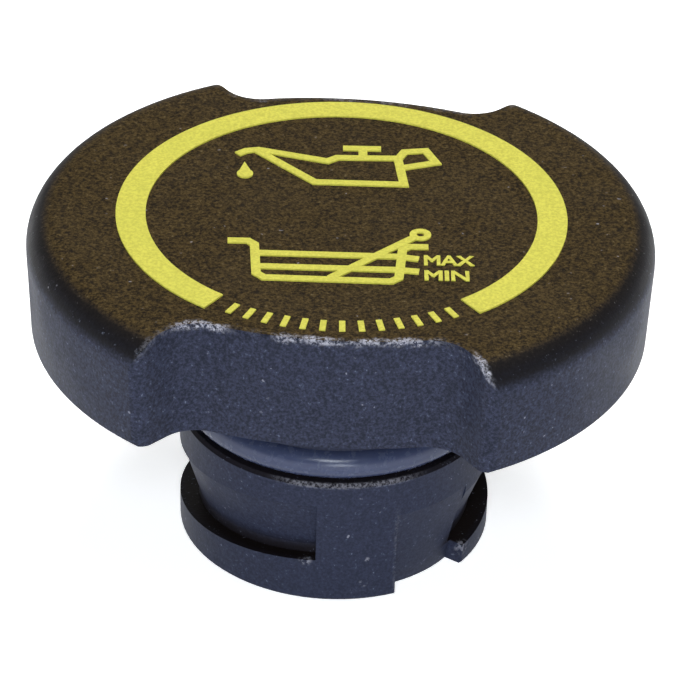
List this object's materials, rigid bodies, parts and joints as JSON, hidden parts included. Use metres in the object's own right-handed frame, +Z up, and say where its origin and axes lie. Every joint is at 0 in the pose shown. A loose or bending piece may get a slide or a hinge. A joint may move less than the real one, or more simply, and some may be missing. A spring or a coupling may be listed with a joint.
{
  "type": "oil filler cap",
  "caption": "Round bayonet oil filler cap with finger recesses in a hollow head, an O-ring seal on the neck and yellow oil level pictograms on top.",
  "frame": {"origin": "centre of the neck's lower face, on the cap's own axis", "axes": "+Z up along the neck's axis to the head's flat top, +X across the two wings, +Y across the two grip recesses; the pictured front recess is on the -Y side"},
  "size_m": [0.076, 0.063, 0.0438],
  "materials": {
    "black_plastic": "fine spark-eroded moulded texture, nearly black",
    "seal_rubber": "smooth, lightly oiled",
    "yellow_print": "satin printed ink"
  },
  "bodies": {
    "root": {"cap_body": "black_plastic", "seal_ring": "seal_rubber", "print_ring": "yellow_print", "print_oil_can": "yellow_print", "print_sump": "yellow_print"}
  },
  "joints": []
}
